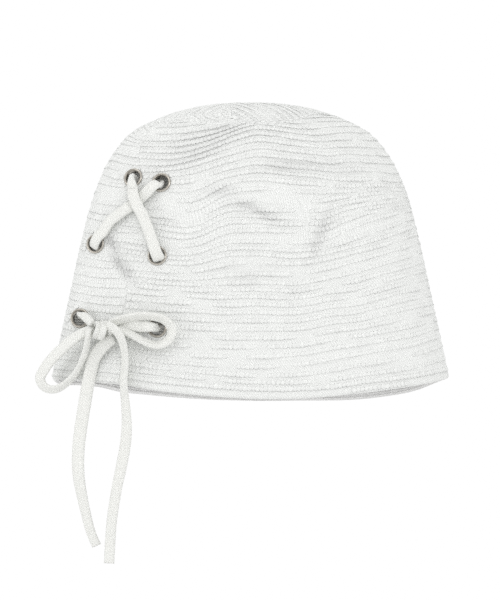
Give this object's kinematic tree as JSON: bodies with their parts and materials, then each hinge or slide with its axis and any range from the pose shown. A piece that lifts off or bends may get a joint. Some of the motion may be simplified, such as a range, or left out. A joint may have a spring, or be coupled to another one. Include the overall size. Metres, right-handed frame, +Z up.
{
  "type": "knitted beanie with laced eyelets",
  "caption": "Soft ridge-knit beanie of three panels, with metal eyelets laced by a flat cord tied in a side bow with hanging tails.",
  "frame": {"origin": "inside of the crown's top, where the wearer's head carries the hat", "axes": "+X to the right of the front view and across the hat's longest extent, +Y to the back of the hat, +Z up"},
  "size_m": [0.2316, 0.1451, 0.2585],
  "materials": {
    "knit_white": "matte ridged knit, white",
    "lace_cotton": "matte flat tubular cord, warm white",
    "eyelet_metal": "polished nickel plate"
  },
  "bodies": {
    "root": {"panel_front": "knit_white", "panel_back": "knit_white", "panel_left": "knit_white", "eyelet_top_left": "eyelet_metal", "eyelet_top_right": "eyelet_metal", "eyelet_middle_left": "eyelet_metal", "eyelet_middle_right": "eyelet_metal", "eyelet_bottom_left": "eyelet_metal", "eyelet_bottom_right": "eyelet_metal", "lace_through_eyelets": "lace_cotton", "bow_knot": "lace_cotton", "bow_loop_left": "lace_cotton", "bow_loop_right": "lace_cotton", "lace_tail_left": "lace_cotton", "lace_tail_right": "lace_cotton"}
  },
  "joints": []
}
